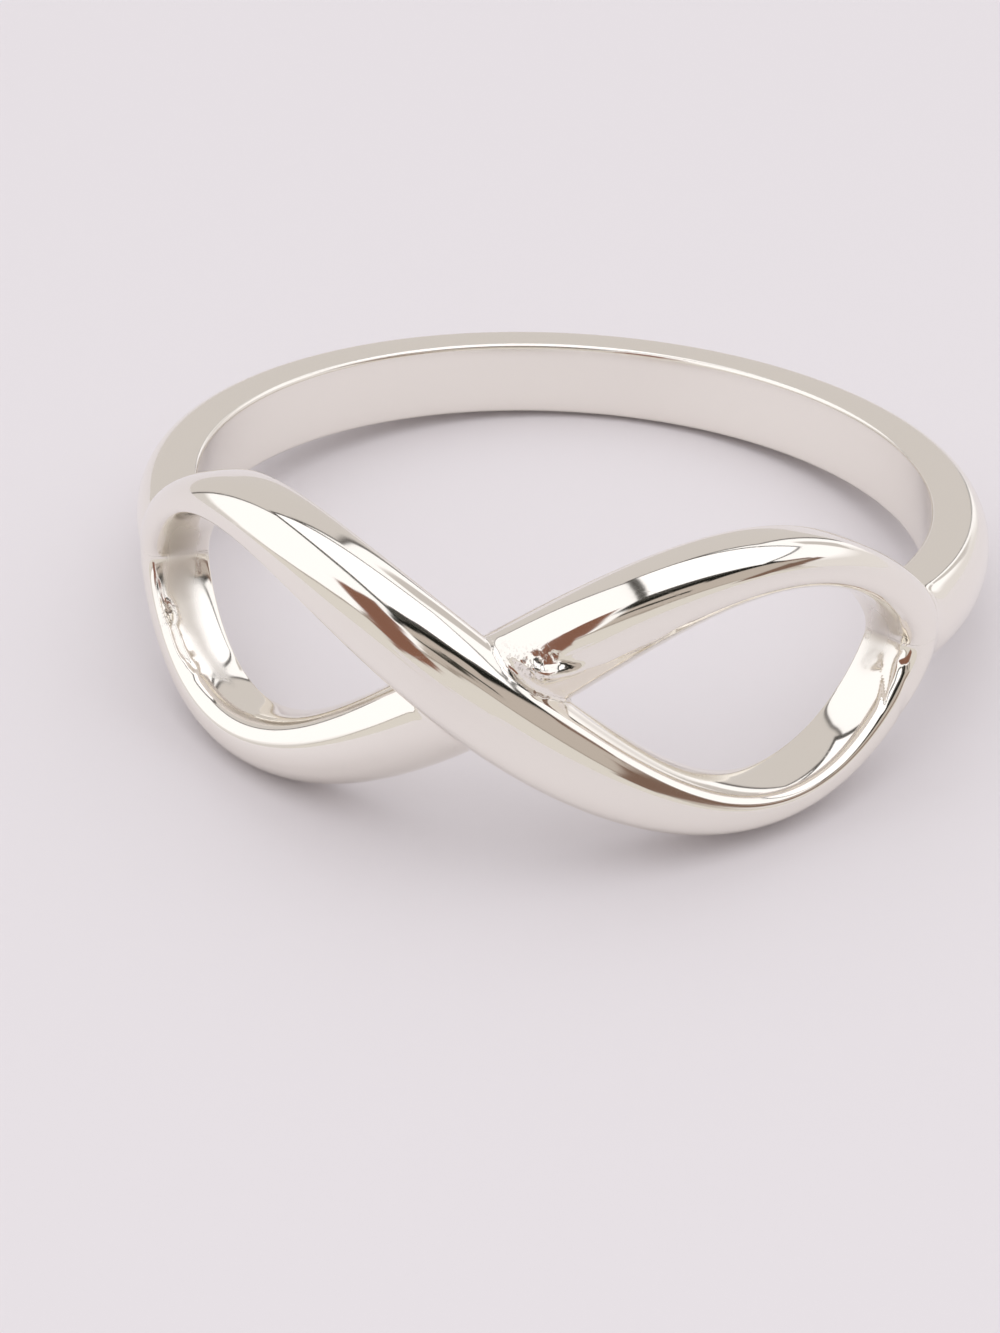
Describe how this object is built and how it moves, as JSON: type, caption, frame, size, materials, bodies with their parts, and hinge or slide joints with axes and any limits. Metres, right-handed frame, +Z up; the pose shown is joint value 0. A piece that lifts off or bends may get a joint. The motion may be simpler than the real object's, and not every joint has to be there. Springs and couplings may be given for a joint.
{
  "type": "infinity ring",
  "caption": "Finger ring with an infinity sign: a strand that crosses over itself in front, open loops either side, and a plain domed band behind.",
  "frame": {"origin": "on the surface the ring rests on, under the middle of its bounding box", "axes": "+Z up from the resting surface, -Y towards the infinity sign, +X to the right as the sign is seen from the front"},
  "size_m": [0.0202, 0.0208, 0.0069],
  "materials": {
    "polished_silver": "polished silver, bright plated, with faint casting marks beside the crossing and in the loop ends"
  },
  "bodies": {
    "root": {"infinity_ring": "polished_silver"}
  },
  "joints": []
}
